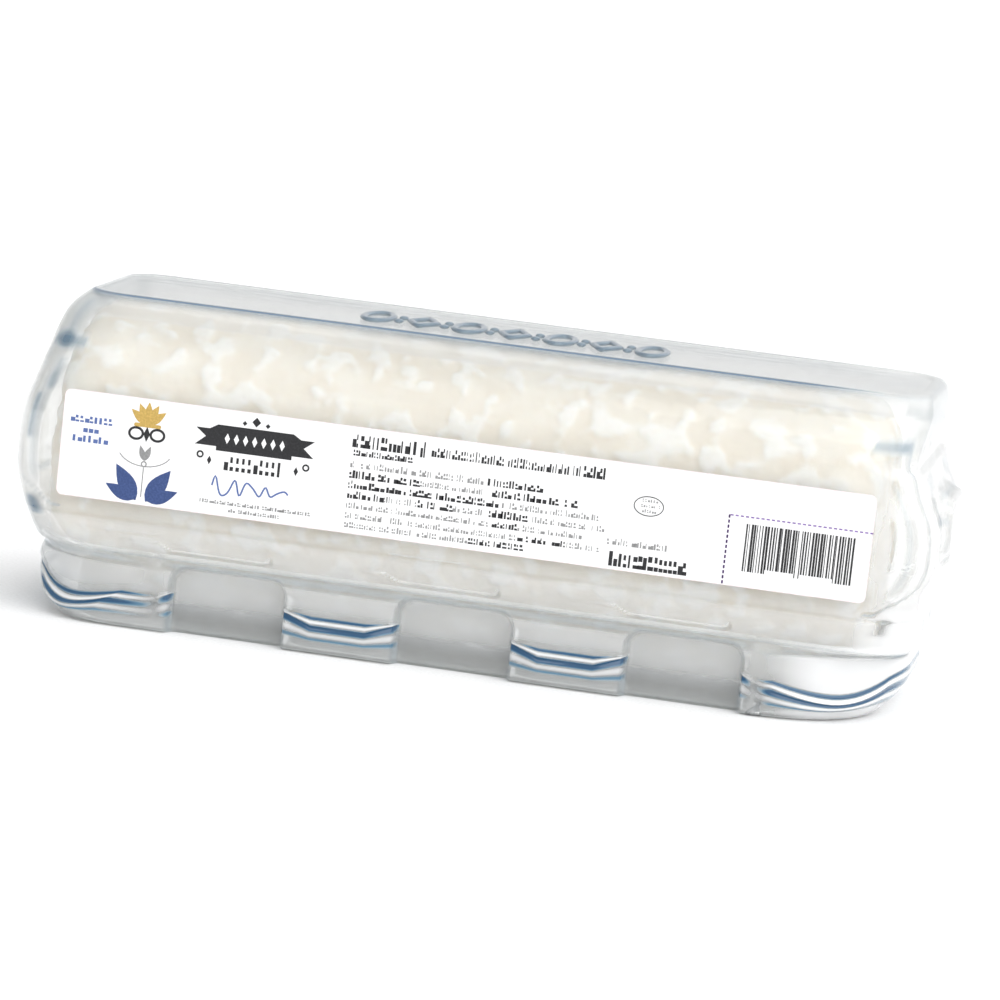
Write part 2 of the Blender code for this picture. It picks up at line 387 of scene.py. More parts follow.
def recalculated(piece, upwards=None):
    shape = bmesh.new()
    shape.from_mesh(piece.data)
    bmesh.ops.recalc_face_normals(shape, faces=shape.faces)
    if upwards is not None:
        cap = max(shape.faces, key=lambda face: len(face.verts))
        if (cap.normal.z > 0) != upwards:
            bmesh.ops.reverse_faces(shape, faces=shape.faces)
    shape.to_mesh(piece.data)
    shape.free()


def addWall(piece, thickness):
    wall = piece.modifiers.new("Wall", "SOLIDIFY")
    wall.thickness = thickness
    wall.offset = -1.0
    wall.use_even_offset = False


# cheese log
logSettings = {
    "radius": 0.0377,
    "length": 0.2055,
    "shift": -0.00435,      # the log lies nearer the left end
    "bottom": 0.0009,       # the log lies on the tray's sheet
    "edge": 0.0110,
    "lump": 0.00055,        # height of the raised patches, never above this
    "lumpSize": 0.0056,
    "bloomFrom": (0.0, 0.5),           # a lump is bare below the first height and white above the second
    "wrinkleSize": 0.0022,
    "patchSize": 0.011,
    "grainSize": 0.0016,
    "ground": ((0.88, 0.82, 0.72), (0.93, 0.89, 0.81)),
    "bloom": ((0.96, 0.945, 0.90), (0.985, 0.98, 0.955)),
    "around": 270,
    "along": 270,
    "edgeSteps": 12,
    "endRings": 22,
}


def rindHeight(place):
    size = logSettings["lumpSize"]
    coarse = noise.noise(place / size, noise_basis="PERLIN_ORIGINAL")
    fine = noise.noise(place * 2.3 / size, noise_basis="PERLIN_ORIGINAL")
    lump = max(-1.0, min(1.0, 1.5 * coarse + 0.5 * fine))
    plateau = smooth(lump, *logSettings["bloomFrom"])
    wrinkle = noise.fractal(place / logSettings["wrinkleSize"], 0.8, 2.1, 3, noise_basis="PERLIN_ORIGINAL")
    height = 0.55 * lump + 0.45 * (2.0 * plateau - 1.0)
    return max(-1.0, min(1.0, height * 0.88 + 0.10 * wrinkle)), plateau


def makeLog():
    radius, half = logSettings["radius"], logSettings["length"] / 2
    edge, lift = logSettings["edge"], logSettings["lump"]
    centre = Vector((logSettings["shift"], 0.0, logSettings["bottom"] + radius + lift))
    straight = half - edge
    along, edgeSteps, endRings = logSettings["along"], logSettings["edgeSteps"], logSettings["endRings"]
    profile = [(straight * (2 * step / along - 1), radius, 0.0) for step in range(1, along)]
    ends = []
    for step in range(edgeSteps + 1):
        angle = math.pi / 2 * step / edgeSteps
        x, r = straight + edge * math.sin(angle), radius - edge + edge * math.cos(angle)
        ends.append((x, r, math.sin(angle)))
    for step in range(1, endRings):
        ends.append((half, (radius - edge) * (1 - step / endRings), 1.0))
    profile = [(-x, r, -e) for x, r, e in reversed(ends)] + profile + ends
    vertices, lumps = [], []
    around = logSettings["around"]
    for x, r, endward in profile:
        for step in range(around):
            angle = 2 * math.pi * step / around
            place = Vector((x, r * math.cos(angle), r * math.sin(angle)))
            height, plateau = rindHeight(place)
            sideward = 1 - abs(endward)
            outward = Vector((endward, math.cos(angle) * sideward, math.sin(angle) * sideward))
            vertices.append(centre + place + outward.normalized() * lift * height)
            lumps.append(plateau)
    faces = []
    for ring in range(len(profile) - 1):
        for step in range(around):
            following = (step + 1) % around
            first, second = ring * around, (ring + 1) * around
            faces.append((first + step, second + step, second + following, first + following))
    for ring, side in ((0, -1), (len(profile) - 1, 1)):
        vertices.append(centre + Vector((side * half, 0.0, 0.0)))
        lumps.append(0.5)
        for step in range(around):
            first, second = ring * around + step, ring * around + (step + 1) % around
            corners = (first, second) if side < 0 else (second, first)
            faces.append((*corners, len(vertices) - 1))
    piece = addPiece("cheeseLog", vertices, faces, rindFinish(), lumps, "lump")
    recalculated(piece)
    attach(piece, "root")
    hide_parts("cheese_log")
    print("cheese log:", len(piece.data.polygons), "faces")


# the box's outline
outlineSettings = {
    "cornerSteps": 22,
    "pitch": 0.057,          # distance between the three recesses along a side
    "recessWidth": 0.0270,
    "recessSlope": 0.0016,
    "sideEnds": (0.0745, 0.0770),    # the last two places along a long side
    "wallShares": 10,        # parts that half an end wall is cut into
}


def sideStations(shift):
    # places along a long side, close together where a recess or pad begins
    half, slope = outlineSettings["recessWidth"] / 2, outlineSettings["recessSlope"]
    stations = [side * place for side in (-1, 1) for place in outlineSettings["sideEnds"]]
    for step in (-1, 0, 1):
        middle = step * outlineSettings["pitch"] + shift
        for share in (1.0, 0.8, 0.6, 0.4, 0.2, 0.0, -0.5, -1.2, -2.2):
            stations.append(middle - half - slope * share)
        for share in (-0.6, -0.3, 0.0, 0.3, 0.6):
            stations.append(middle + half * share)
        for share in (-2.2, -1.2, -0.5, 0.0, 0.2, 0.4, 0.6, 0.8, 1.0):
            stations.append(middle + half + slope * share)
        if step < 1:
            stations += [middle + outlineSettings["pitch"] * share for share in (0.38, 0.5, 0.62)]
    return sorted(stations)


def fromRecess(x, shift):
    # the distance along the box from the nearest of the three recesses
    pitch = outlineSettings["pitch"]
    return x - min((step * pitch + shift for step in (-1, 0, 1)), key=lambda place: abs(x - place))


def ringPoints(left, leftRadius, right, rightRadius, depth, stations):
    # x, y and how far round towards an end wall, for a whole ring of the rounded outline
    steps, shares = outlineSettings["cornerSteps"], outlineSettings["wallShares"]
    endShares = [share / shares for share in range(1, shares)]
    front = [(-left, 0.0, 1.0)]
    front += [(-left, (leftRadius - depth) * share, 1.0) for share in endShares]
    for step in range(steps + 1):
        angle = math.pi / 2 * step / steps
        x, y = leftRadius * (1 - math.cos(angle)) - left, leftRadius * (1 - math.sin(angle)) - depth
        front.append((x, y, 1 - step / steps))
    front += [(x, -depth, 0.0) for x in stations]
    for step in range(steps + 1):
        angle = math.pi / 2 * (1 - step / steps)
        x, y = right - rightRadius * (1 - math.cos(angle)), rightRadius * (1 - math.sin(angle)) - depth
        front.append((x, y, step / steps))
    front += [(right, (rightRadius - depth) * share, 1.0) for share in reversed(endShares)]
    front.append((right, 0.0, 1.0))
    return front + [(x, -y, endward) for x, y, endward in reversed(front[1:-1])]


def loftRings(rings):
    # faces between rings of equal length, and one face across the last ring
    count = len(rings[0])
    faces = []
    for level in range(len(rings) - 1):
        upper, lower = level * count, (level + 1) * count
        for index in range(count):
            following = (index + 1) % count
            faces.append((upper + index, upper + following, lower + following, lower + index))
    last = (len(rings) - 1) * count
    faces.append(tuple(range(last, last + count)))
    return [point for ring in rings for point in ring], faces


# lid
lidSettings = {
    "wall": 0.0006,
    "pocketLow": 0.0213,
    "pocketHigh": 0.0262,
    "pocketDepth": 0.0010,
    "pocketShift": -0.0030,
    "pocketSlant": 1.0,      # how far each pocket leans to the left as it rises
    "pocketCorner": 0.002,
    "pocketSlope": 0.0012,
    "pocketOpen": (0.0245, 0.0265),    # its painted outline fades out between these heights
    "pocketFoot": 0.0220,
    "pocketLines": (4.16, 2.24),       # strength of the painted shade and highlight along its outline, below that height and above it
    "pocketDark": 0.6,       # its slope gets painted shade up to this share of its depth, and a painted highlight beyond
    "leftPanel": (0.0335, 0.0545, 0.1160, 0.1130),    # low, high, reach, least reach it starts from
    "rightPanel": (0.0400, 0.0545, 0.1160, 0.1125),
    "panelHalf": 0.0160,
    "panelCorner": 0.007,
    "panelSlope": 0.0030,
    "flute": 0.0005,
    "flutePlace": (0.33, 0.10),        # middle and half width, as shares of the way round a corner
    "fluteHeights": (0.031, 0.036, 0.058, 0.064),
    "step": 0.0003,
    "stepPlace": (0.62, 0.45),         # where the step runs, and how far its foot turns to the front
    "stepTurn": (0.028, 0.038),
    "stepHeights": (0.0275, 0.0290, 0.066, 0.072),
    "stepSlope": 0.05,
    # strength of the painted shade in a corner flute, along a corner step and round an end panel
    "tones": {"flute": 0.25, "step": 1.8, "panel": 1.2},
    "clearTop": 0.0800,                # above it, the painted dark lines fade out towards the right end
    "clearRight": (0.078, 0.100),
    "clearShare": 0.85,
    # painted light: near white on the skirt and on the right end, where no dark line is painted
    "skirtPaintedLight": 0.16,
    "skirtTop": (0.0270, 0.0310),
    "endPaintedLight": 0.32,
    "endStart": (0.094, 0.106),
    "endTop": (0.063, 0.069),
    "paintedLightLimits": (0.10, 0.35),       # tones between which the painted light gives way to a painted dark line
    "shadePatchFade": 0.0012,
    "shadePatchReach": 0.020,
    "waviness": 0.00018,
    "waveSize": 0.022,
    "tint": (0.985, 0.985, 0.98),
    "milk": 0.05,
    # colours of the painted shade, from none to darkest
    "stops": (
        (0.0, (0.86, 0.88, 0.88)), (0.3, (0.58, 0.64, 0.67)),
        (0.6, (0.16, 0.26, 0.34)), (1.0, (0.03, 0.09, 0.17)),
    ),
}
# height, left reach and corner radius, right reach and radius, half depth, tone in front, at the ends; the
# tones are painted shade, such as the dark lines at the top crease and the skirt's foot
lidProfile = (
    (0.0185, 0.1098, 0.0200, 0.1103, 0.0160, 0.0401, 0.30, 0.20),
    (0.0188, 0.1100, 0.0198, 0.1105, 0.0160, 0.0404, 0.20, 0.10),
    (0.0194, 0.1103, 0.0190, 0.1108, 0.0160, 0.0404, 0.03, 0.02),
    (0.0204, 0.1106, 0.0180, 0.1109, 0.0160, 0.0403, 0.0, 0.0),
    (0.0213, 0.1110, 0.0170, 0.1111, 0.0160, 0.0402, 0.0, 0.0),
    (0.0235, 0.1118, 0.0157, 0.1111, 0.0155, 0.0401, 0.0, 0.0),
    (0.0258, 0.1126, 0.0145, 0.1111, 0.0145, 0.0401, 0.0, 0.0),
    (0.0264, 0.1129, 0.0140, 0.1111, 0.0140, 0.0399, 0.05, 0.05),
    (0.0268, 0.1130, 0.0135, 0.1110, 0.0135, 0.0395, 0.14, 0.12),
    (0.0276, 0.1132, 0.0130, 0.1110, 0.0130, 0.0394, 0.05, 0.05),
    (0.0305, 0.1141, 0.0125, 0.1111, 0.0125, 0.0394, 0.0, 0.0),
    (0.0335, 0.1150, 0.0120, 0.1115, 0.0120, 0.0394, 0.0, 0.0),
    (0.0365, 0.1155, 0.0115, 0.1133, 0.0115, 0.0394, 0.0, 0.0),
    (0.0400, 0.1155, 0.0110, 0.1143, 0.0110, 0.0394, 0.0, 0.0),
    (0.0430, 0.1155, 0.0110, 0.1144, 0.0110, 0.0394, 0.0, 0.0),
    (0.0465, 0.1154, 0.0110, 0.1144, 0.0110, 0.0394, 0.0, 0.0),
    (0.0505, 0.1150, 0.0110, 0.1138, 0.0110, 0.0394, 0.0, 0.0),
    (0.0545, 0.1141, 0.0110, 0.1118, 0.0110, 0.0394, 0.0, 0.0),
    (0.0580, 0.1128, 0.0112, 0.1101, 0.0112, 0.0394, 0.0, 0.0),
    (0.0615, 0.1117, 0.0115, 0.1091, 0.0115, 0.0392, 0.0, 0.05),
    (0.0628, 0.1113, 0.0116, 0.1083, 0.0116, 0.0391, 0.0, 0.16),
    (0.0636, 0.1111, 0.0117, 0.1071, 0.0117, 0.0390, 0.0, 0.10),
    (0.0660, 0.1103, 0.0116, 0.1070, 0.0116, 0.0384, 0.03, 0.10),
    (0.0700, 0.1094, 0.0112, 0.1077, 0.0112, 0.0367, 0.0, 0.15),
    (0.0750, 0.1080, 0.0106, 0.1085, 0.0106, 0.0333, 0.0, 0.15),
    (0.0775, 0.1064, 0.0102, 0.1084, 0.0102, 0.0303, 0.02, 0.15),
    (0.0798, 0.1040, 0.0098, 0.1073, 0.0098, 0.0270, 0.05, 0.10),
    (0.0803, 0.1033, 0.0095, 0.1067, 0.0095, 0.0260, 0.90, 0.60),
    (0.0804, 0.1031, 0.0094, 0.1065, 0.0094, 0.0257, 1.60, 0.90),
    (0.0805, 0.1028, 0.0092, 0.1062, 0.0092, 0.0253, 1.00, 0.50),
    (0.0806, 0.1024, 0.0090, 0.1058, 0.0090, 0.0247, 0.10, 0.10),
    (0.0806, 0.1016, 0.0086, 0.1050, 0.0086, 0.0239, 0.08, 0.08),
    (0.0802, 0.1010, 0.0082, 0.1044, 0.0082, 0.0233, 0.08, 0.08),
    (0.0800, 0.1002, 0.0078, 0.1036, 0.0078, 0.0225, 0.08, 0.08),
    (0.0800, 0.0958, 0.0060, 0.0992, 0.0060, 0.0180, 0.08, 0.08),
    (0.0800, 0.0898, 0.0040, 0.0932, 0.0040, 0.0120, 0.06, 0.06),
    (0.0800, 0.0848, 0.0020, 0.0882, 0.0020, 0.0060, 0.0, 0.0),
)
# soft patches of painted shade at the lid's ends: side, place round the corner (0 in front, 1 where the
# end wall begins, then 1 more for each 20 mm along it), half its width, low and high edge, strength of the
# painted shade
paintedShadePatches = (
    (-1, 0.42, 0.05, 0.0440, 0.0550, 0.45),
    (-1, 0.28, 0.10, 0.0570, 0.0645, 0.30),
    (-1, 0.36, 0.12, 0.0669, 0.0785, 0.30),
    (-1, 0.50, 0.14, 0.0252, 0.0290, 0.75),
    (-1, 0.75, 0.12, 0.0190, 0.0252, 0.50),
    (1, 0.26, 0.07, 0.0315, 0.0610, 0.08),
    (1, 0.06, 0.04, 0.0400, 0.0515, 0.25),
    (1, 0.33, 0.10, 0.0235, 0.0270, 0.22),
    (1, 1.28, 0.14, 0.0500, 0.0610, 0.35),
    (1, 1.28, 0.14, 0.0495, 0.0510, 0.50),
    (1, 1.60, 0.16, 0.0575, 0.0610, 0.35),
    (1, 1.80, 0.20, 0.0190, 0.0240, 0.40),
)


def endPaintedShade(side, around, height):
    tone, fade = 0.0, lidSettings["shadePatchFade"]
    for markSide, place, half, low, high, strength in paintedShadePatches:
        if side == markSide:
            level = between(height, (low - fade, low + fade / 2, high - fade / 2, high + fade))
            tone += strength * level * math.exp(-((around - place) / half) ** 2)
    return tone


def pocketLean(x, height):
    # how deep the sheet is pressed in, and the painted shade and highlight along the pocket's outline
    low, high = lidSettings["pocketLow"], lidSettings["pocketHigh"]
    across = fromRecess(x, lidSettings["pocketShift"]) + lidSettings["pocketSlant"] * (height - low)
    half = outlineSettings["recessWidth"] / 2
    pocket = roundedBox(across, height - (high + low) / 2, half, (high - low) / 2,
                        lidSettings["pocketCorner"], lidSettings["pocketSlope"])
    lineFull, lineGone = lidSettings["pocketOpen"]
    edge = pocket * (1 - pocket) * smooth(height, lineGone, lineFull)
    line = lidSettings["pocketLines"][height >= lidSettings["pocketFoot"]]
    return lidSettings["pocketDepth"] * pocket, line * edge * (lidSettings["pocketDark"] - pocket)


def cornerRelief(endward, height):
    # a shallow flute up each corner, and beside it a step that curves to the front at its foot; painted
    # shade darkens the flute and draws a dark line along the step's slope
    middle, half = lidSettings["flutePlace"]
    flute = math.exp(-((endward - middle) / half) ** 2) * between(height, lidSettings["fluteHeights"])
    edge, turn = lidSettings["stepPlace"]
    edge -= turn * smooth(height, lidSettings["stepTurn"][1], lidSettings["stepTurn"][0]) ** 2
    slope = lidSettings["stepSlope"]
    step = smooth(endward, edge + slope, edge - slope) * between(height, lidSettings["stepHeights"])
    tones = lidSettings["tones"]
    out = lidSettings["step"] * step - lidSettings["flute"] * flute
    return out, tones["flute"] * flute + tones["step"] * step * (1 - step)


# painted light on the skirt and, stronger, on the right end
def lidPaintedLight(x, height):
    low, high = lidSettings["skirtTop"]
    skirt = lidSettings["skirtPaintedLight"] * smooth(height, high, low)
    low, high = lidSettings["endTop"]
    end = smooth(x, *lidSettings["endStart"]) * smooth(height, high, low)
    return skirt + lidSettings["endPaintedLight"] * end


def lidRing(row):
    height, left, leftRadius, right, rightRadius, depth, sideTone, endTone = row
    ring, tones = [], []
    stations = sideStations(lidSettings["pocketShift"])
    for x, y, endward in ringPoints(left, leftRadius, right, rightRadius, depth, stations):
        tone = mixed(sideTone, endTone, endward)
        out, around = 0.0, endward
        if endward == 0.0:
            pressed, line = pocketLean(x, height)
            out -= pressed
            tone += line
        elif endward < 1.0:
            raised, line = cornerRelief(endward, height)
            out += raised
            tone += line
        else:
            low, high, reach, least = lidSettings["leftPanel" if x < 0 else "rightPanel"]
            panel = roundedBox(y, height - (low + high) / 2, lidSettings["panelHalf"], (high - low) / 2,
                               lidSettings["panelCorner"], lidSettings["panelSlope"])
            x += math.copysign(panel * (reach - max(abs(x), least)), x)
            # painted shade along the end panel's outline
            tone += lidSettings["tones"]["panel"] * panel * (1 - panel)
            radius = leftRadius if x < 0 else rightRadius
            around += max(0.0, depth - abs(y) - radius) / lidSettings["shadePatchReach"]
        tone += endPaintedShade(math.copysign(1, x), around, height)
        # painted dark lines near the top fade out towards the right end
        if height > lidSettings["clearTop"]:
            tone *= 1.0 - lidSettings["clearShare"] * smooth(x, *lidSettings["clearRight"])
        tone -= lidPaintedLight(x, height) * (1.0 - smooth(tone, *lidSettings["paintedLightLimits"]))
        wave = noise.noise(Vector((x, y, height)) / lidSettings["waveSize"])
        inward = lidSettings["waviness"] * (0.5 + 0.5 * wave)
        size = math.hypot(x, y)
        ring.append((x + (out - inward) * x / size * (endward > 0), y + (out - inward) * y / size, height))
        tones.append(tone)
    return ring, tones


def makeLid():
    made = [lidRing(row) for row in roundedRows(lidProfile, 2)]
    vertices, faces = loftRings([ring for ring, tones in made])
    tones = [tone for ring, values in made for tone in values]
    plastic = plasticFinish("clearLid", lidSettings["tint"], lidSettings["milk"], lidSettings["stops"])
    piece = addPiece("lidShell", vertices, faces, plastic, tones)
    recalculated(piece, upwards=True)
    addWall(piece, lidSettings["wall"])
    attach(piece, "root")
    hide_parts("lid")
    print("lid:", len(piece.data.polygons), "faces")
    makeOrnament(plastic)


# raised row of rings, lozenges and dots on the lid's top
ornamentSettings = {
    "first": -0.0340,        # from here along the box
    "step": 0.0116,
    "count": 7,
    "high": 0.0800,          # the top panel's surface
    "halfLong": 0.0034,
    "stretch": 2.5,          # how much deeper each figure is than it is long
    "stroke": 0.0010,
    "flatness": 0.6,
    # painted shade darkening the raised figures
    "tone": 0.62,
    "dotSpread": 0.0035,
}


def ornamentPattern():
    pattern = Pattern("raisedFigures")
    half, stroke = pattern.size("Half Long"), pattern.size("Stroke")
    stretch, flatness, tone = pattern.size("Stretch"), pattern.size("Flatness"), pattern.size("Tone")
    material = pattern.size("Material", "NodeSocketMaterial")
    profile = pattern.add("GeometryNodeCurvePrimitiveCircle", {}, {"Resolution": 12, "Radius": stroke})
    ring = pattern.add("GeometryNodeCurvePrimitiveCircle", {}, {"Resolution": 48, "Radius": half})
    lozenge = pattern.add("GeometryNodeCurvePrimitiveCircle", {}, {"Resolution": 4, "Radius": half})
    lozenge = pattern.add("GeometryNodeSubdivideCurve", {}, {"Curve": lozenge, "Cuts": 5})
    scale = pattern.add("ShaderNodeCombineXYZ", {}, {"X": 1.0, "Y": stretch, "Z": 1.0})
    squash = pattern.add("ShaderNodeCombineXYZ", {}, {"X": 1.0, "Y": 1.0, "Z": flatness})
    kind = pattern.stored("kind")
    figures = []
    for index, path in enumerate((ring, lozenge)):
        path = pattern.add("GeometryNodeTransform", {}, {"Geometry": path, "Scale": scale})
        tube = pattern.add("GeometryNodeCurveToMesh", {}, {"Curve": path, "Profile Curve": profile})
        tube = pattern.add("GeometryNodeTransform", {}, {"Geometry": tube, "Scale": squash})
        chosen = pattern.add("FunctionNodeCompare", {"operation": "EQUAL"}, {0: kind, 1: float(index)})
        figures.append(pattern.add("GeometryNodeInstanceOnPoints", {}, {
            "Points": pattern.start, "Selection": chosen, "Instance": tube,
        }))
    dot = pattern.add("GeometryNodeMeshUVSphere", {}, {"Segments": 16, "Rings": 8, "Radius": 1.2 * stroke})
    dot = pattern.add("GeometryNodeTransform", {}, {"Geometry": dot, "Scale": (1.0, 1.6, 0.5)})
    chosen = pattern.add("FunctionNodeCompare", {"operation": "EQUAL"}, {0: kind, 1: 2.0})
    figures.append(pattern.add("GeometryNodeInstanceOnPoints", {}, {
        "Points": pattern.start, "Selection": chosen, "Instance": dot,
    }))
    joined = pattern.tree.nodes.new("GeometryNodeJoinGeometry")
    for figure in figures:
        pattern.tree.links.new(figure.socket, joined.inputs[0])
    shape = pattern.add("GeometryNodeRealizeInstances", {}, {"Geometry": Val(pattern, joined.outputs[0])})
    # the figures' painted shade, read by the sheet's finish
    shape = pattern.add("GeometryNodeStoreNamedAttribute", {"data_type": "FLOAT", "domain": "POINT"}, {
        "Geometry": shape, "Name": "tone", "Value": tone,
    })
    shape = pattern.add("GeometryNodeSetShadeSmooth", {}, {"Geometry": shape})
    pattern.give(shape, material)
    return pattern


def makeOrnament(material):
    step, high = ornamentSettings["step"], ornamentSettings["high"]
    places, kinds = [], []
    for index in range(ornamentSettings["count"]):
        x = ornamentSettings["first"] + step * index
        places.append((x, 0.0, high))
        kinds.append(index % 2)
        if index < ornamentSettings["count"] - 1:
            places += [(x + step / 2, side * ornamentSettings["dotSpread"], high) for side in (-1, 1)]
            kinds += [2, 2]
    mesh = bpy.data.meshes.new("ornamentSeed")
    mesh.from_pydata(places, [], [])
    mesh.attributes.new("kind", "FLOAT", "POINT").data.foreach_set("value", kinds)
    piece = ornamentPattern().apply("lidOrnament", mesh, {
        "Half Long": ornamentSettings["halfLong"],
        "Stroke": ornamentSettings["stroke"],
        "Stretch": ornamentSettings["stretch"],
        "Flatness": ornamentSettings["flatness"],
        "Tone": ornamentSettings["tone"],
        "Material": material,
    })
    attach(piece, "root")
    print("lid ornament:", len(piece.data.polygons), "faces")


# base tray
traySettings = {
    "wall": 0.0006,
    "recessDepth": 0.0045,
    "recessHigh": 0.0158,
    "recessCorner": 0.003,
    "footDepth": 0.036,      # rows less deep than this belong to the floor
    "floorDepth": 0.033,     # and the recesses end at this one
    "plainDepth": 0.0397,
    "ledge": (0.0080, 0.0060),         # height of the ledge, and how far from it the corners dip
    "dip": 0.0028,
    "bead": (0.0067, 0.0045),          # height of the lower bead, where a painted navy shade line runs, and how far from it rows turn up
    "upturn": 0.0030,
    "upturnReach": (0.0005, 0.0060),
    "paintedDarkLineRows": (0.0084, 0.0096),     # the rows of the painted dark line in the crease above the upper bead, which ends short of each recess
    "paintedDarkLineEnd": (0.0020, 0.0050),
    "plainStrip": (0.0715, 0.0735, 0.0760, 0.0790),    # between the outer recesses and the corners
    # painted shade on the plain strip
    "plainTone": 0.10,
    "floorTurn": (0.0002, 0.0030),
    "recessFloor": 0.0340,
    "recessTone": (0.05, 0.14, 0.010, 0.002),    # its painted shade, what its foot adds, and from where to where
    # painted shade along the recess's outline
    "recessEdge": 0.45,
    "cornerTurn": (0.30, 1.0),         # where round a corner rows climb to the height of the end
    "cornerTone": (0.45, 1.0),         # and take on its painted shade
    "dipReach": 0.7,
    # painted light: near white over the sheet, stronger at the right end, where no dark line is painted
    "paintedLight": 0.20,
    "rightPaintedLight": 0.40,
    "rightStart": (0.078, 0.092),
    "paintedLightLimits": (0.12, 0.40),
    "waviness": 0.00015,
    "waveSize": 0.020,
    "tint": (0.97, 0.975, 0.975),
    "milk": 0.16,
    # colours of the painted shade, from none to darkest
    "stops": (
        (0.0, (0.84, 0.86, 0.86)), (0.3, (0.52, 0.61, 0.66)),
        (0.6, (0.12, 0.26, 0.38)), (1.0, (0.01, 0.07, 0.16)),
    ),
}
# front height, half depth, tone in front; end height, left reach and corner radius, right reach
# and corner radius, tone at the ends; tones above 0 are painted shade lines, below 0 painted highlights
trayProfile = (
    (0.0196, 0.0391, 0.0, 0.0196, 0.1089, 0.0190, 0.1090, 0.0165, 0.0),
    (0.0190, 0.0391, 0.0, 0.0190, 0.1087, 0.0200, 0.1086, 0.0180, 0.0),
    (0.0184, 0.0391, 0.15, 0.0182, 0.1086, 0.0215, 0.1083, 0.0200, 0.10),
    (0.0170, 0.0391, 0.30, 0.0168, 0.1088, 0.0240, 0.1076, 0.0250, 0.30),
    (0.0160, 0.0394, 0.15, 0.0162, 0.1094, 0.0265, 0.1078, 0.0280, 0.50),
    (0.0154, 0.0398, 0.05, 0.0156, 0.1102, 0.0280, 0.1083, 0.0290, 0.30),
    (0.0142, 0.0398, 0.05, 0.0150, 0.1106, 0.0285, 0.1087, 0.0295, 0.10),
    (0.0120, 0.0398, 0.05, 0.0144, 0.1108, 0.0282, 0.1090, 0.0300, 0.05),
    (0.0101, 0.0397, 0.10, 0.0138, 0.1109, 0.0278, 0.1092, 0.0300, 0.05),
    (0.0094, 0.0397, 0.10, 0.0133, 0.1109, 0.0275, 0.1093, 0.0300, 0.10),
    (0.0090, 0.0398, 1.70, 0.0128, 0.1104, 0.0270, 0.1094, 0.0300, 0.90),
    (0.0087, 0.0403, 0.20, 0.0122, 0.1100, 0.0260, 0.1095, 0.0300, 0.20),
    (0.0080, 0.0405, -0.60, 0.0114, 0.1097, 0.0245, 0.1095, 0.0300, 0.15),
    (0.0072, 0.0403, 0.70, 0.0106, 0.1094, 0.0230, 0.1093, 0.0300, 0.15),
    (0.0067, 0.0399, 1.90, 0.0098, 0.1090, 0.0215, 0.1092, 0.0300, 0.90),
    (0.0062, 0.0403, 1.20, 0.0090, 0.1086, 0.0205, 0.1090, 0.0300, 0.15),
    (0.0054, 0.0405, -0.25, 0.0080, 0.1081, 0.0190, 0.1086, 0.0300, 0.15),
    (0.0044, 0.0403, -0.05, 0.0066, 0.1074, 0.0175, 0.1078, 0.0300, 0.15),
    (0.0039, 0.0401, 0.85, 0.0056, 0.1066, 0.0165, 0.1071, 0.0300, 0.90),
    (0.0034, 0.0403, 0.15, 0.0046, 0.1056, 0.0155, 0.1062, 0.0300, 0.15),
    (0.0022, 0.0403, 0.12, 0.0030, 0.1041, 0.0150, 0.1048, 0.0298, 0.15),
    (0.0010, 0.0398, 0.12, 0.0014, 0.1027, 0.0145, 0.1032, 0.0290, 0.15),
    (0.0002, 0.0386, 0.20, 0.0003, 0.1015, 0.0140, 0.1018, 0.0280, 0.15),
    (0.0000, 0.0376, 0.15, 0.0000, 0.1005, 0.0135, 0.1008, 0.0270, 0.15),
    (0.0000, 0.0338, 0.05, 0.0000, 0.0972, 0.0122, 0.0972, 0.0200, 0.05),
    (0.0002, 0.0320, 0.05, 0.0002, 0.0955, 0.0118, 0.0955, 0.0183, 0.05),
    (0.0002, 0.0240, 0.02, 0.0002, 0.0890, 0.0090, 0.0880, 0.0100, 0.02),
    (0.0002, 0.0150, 0.02, 0.0002, 0.0830, 0.0050, 0.0825, 0.0045, 0.02),
    (0.0002, 0.0070, 0.02, 0.0002, 0.0800, 0.0020, 0.0800, 0.0020, 0.02),
)


def footWall(x, row, height):
    # height, depth and painted shade tone of the tray's wall at a place along a long side
    frontHeight, depth, tone = row[0], row[1], row[2]
    across, half = fromRecess(x, 0.0), outlineSettings["recessWidth"] / 2
    recess = roundedBox(across, height, half, traySettings["recessHigh"],
                        traySettings["recessCorner"], outlineSettings["recessSlope"])
    beside = abs(across) - half
    low, high = traySettings["paintedDarkLineRows"]
    # the painted dark line fades out short of each recess
    if low < frontHeight < high:
        tone *= smooth(beside, *traySettings["paintedDarkLineEnd"])
    bead, spread = traySettings["bead"]
    near, far = traySettings["upturnReach"]
    lift = traySettings["upturn"] * smooth(beside, far, near)
    height += lift * max(0.0, 1.0 - abs(frontHeight - bead) / spread)
    ledge = 1.0 - between(abs(x), traySettings["plainStrip"])
    low, high = traySettings["floorTurn"]
    floorward = smooth(height, high, low)
    plain = mixed(traySettings["plainDepth"], depth, floorward)
    inner = traySettings["plainDepth"] - traySettings["recessDepth"]
    inner = mixed(inner, min(depth, traySettings["recessFloor"] + 0.3 * (depth - 0.0338)), floorward)
    wall = mixed(mixed(plain, depth, ledge), inner, recess)
    # painted shade in the recesses, darker at their foot, and along their outline
    shade, added, high, low = traySettings["recessTone"]
    shade += added * smooth(height, high, low)
    tone = mixed(mixed(traySettings["plainTone"], tone, ledge), shade, recess)
    return height, wall, tone + traySettings["recessEdge"] * recess * (1 - recess)


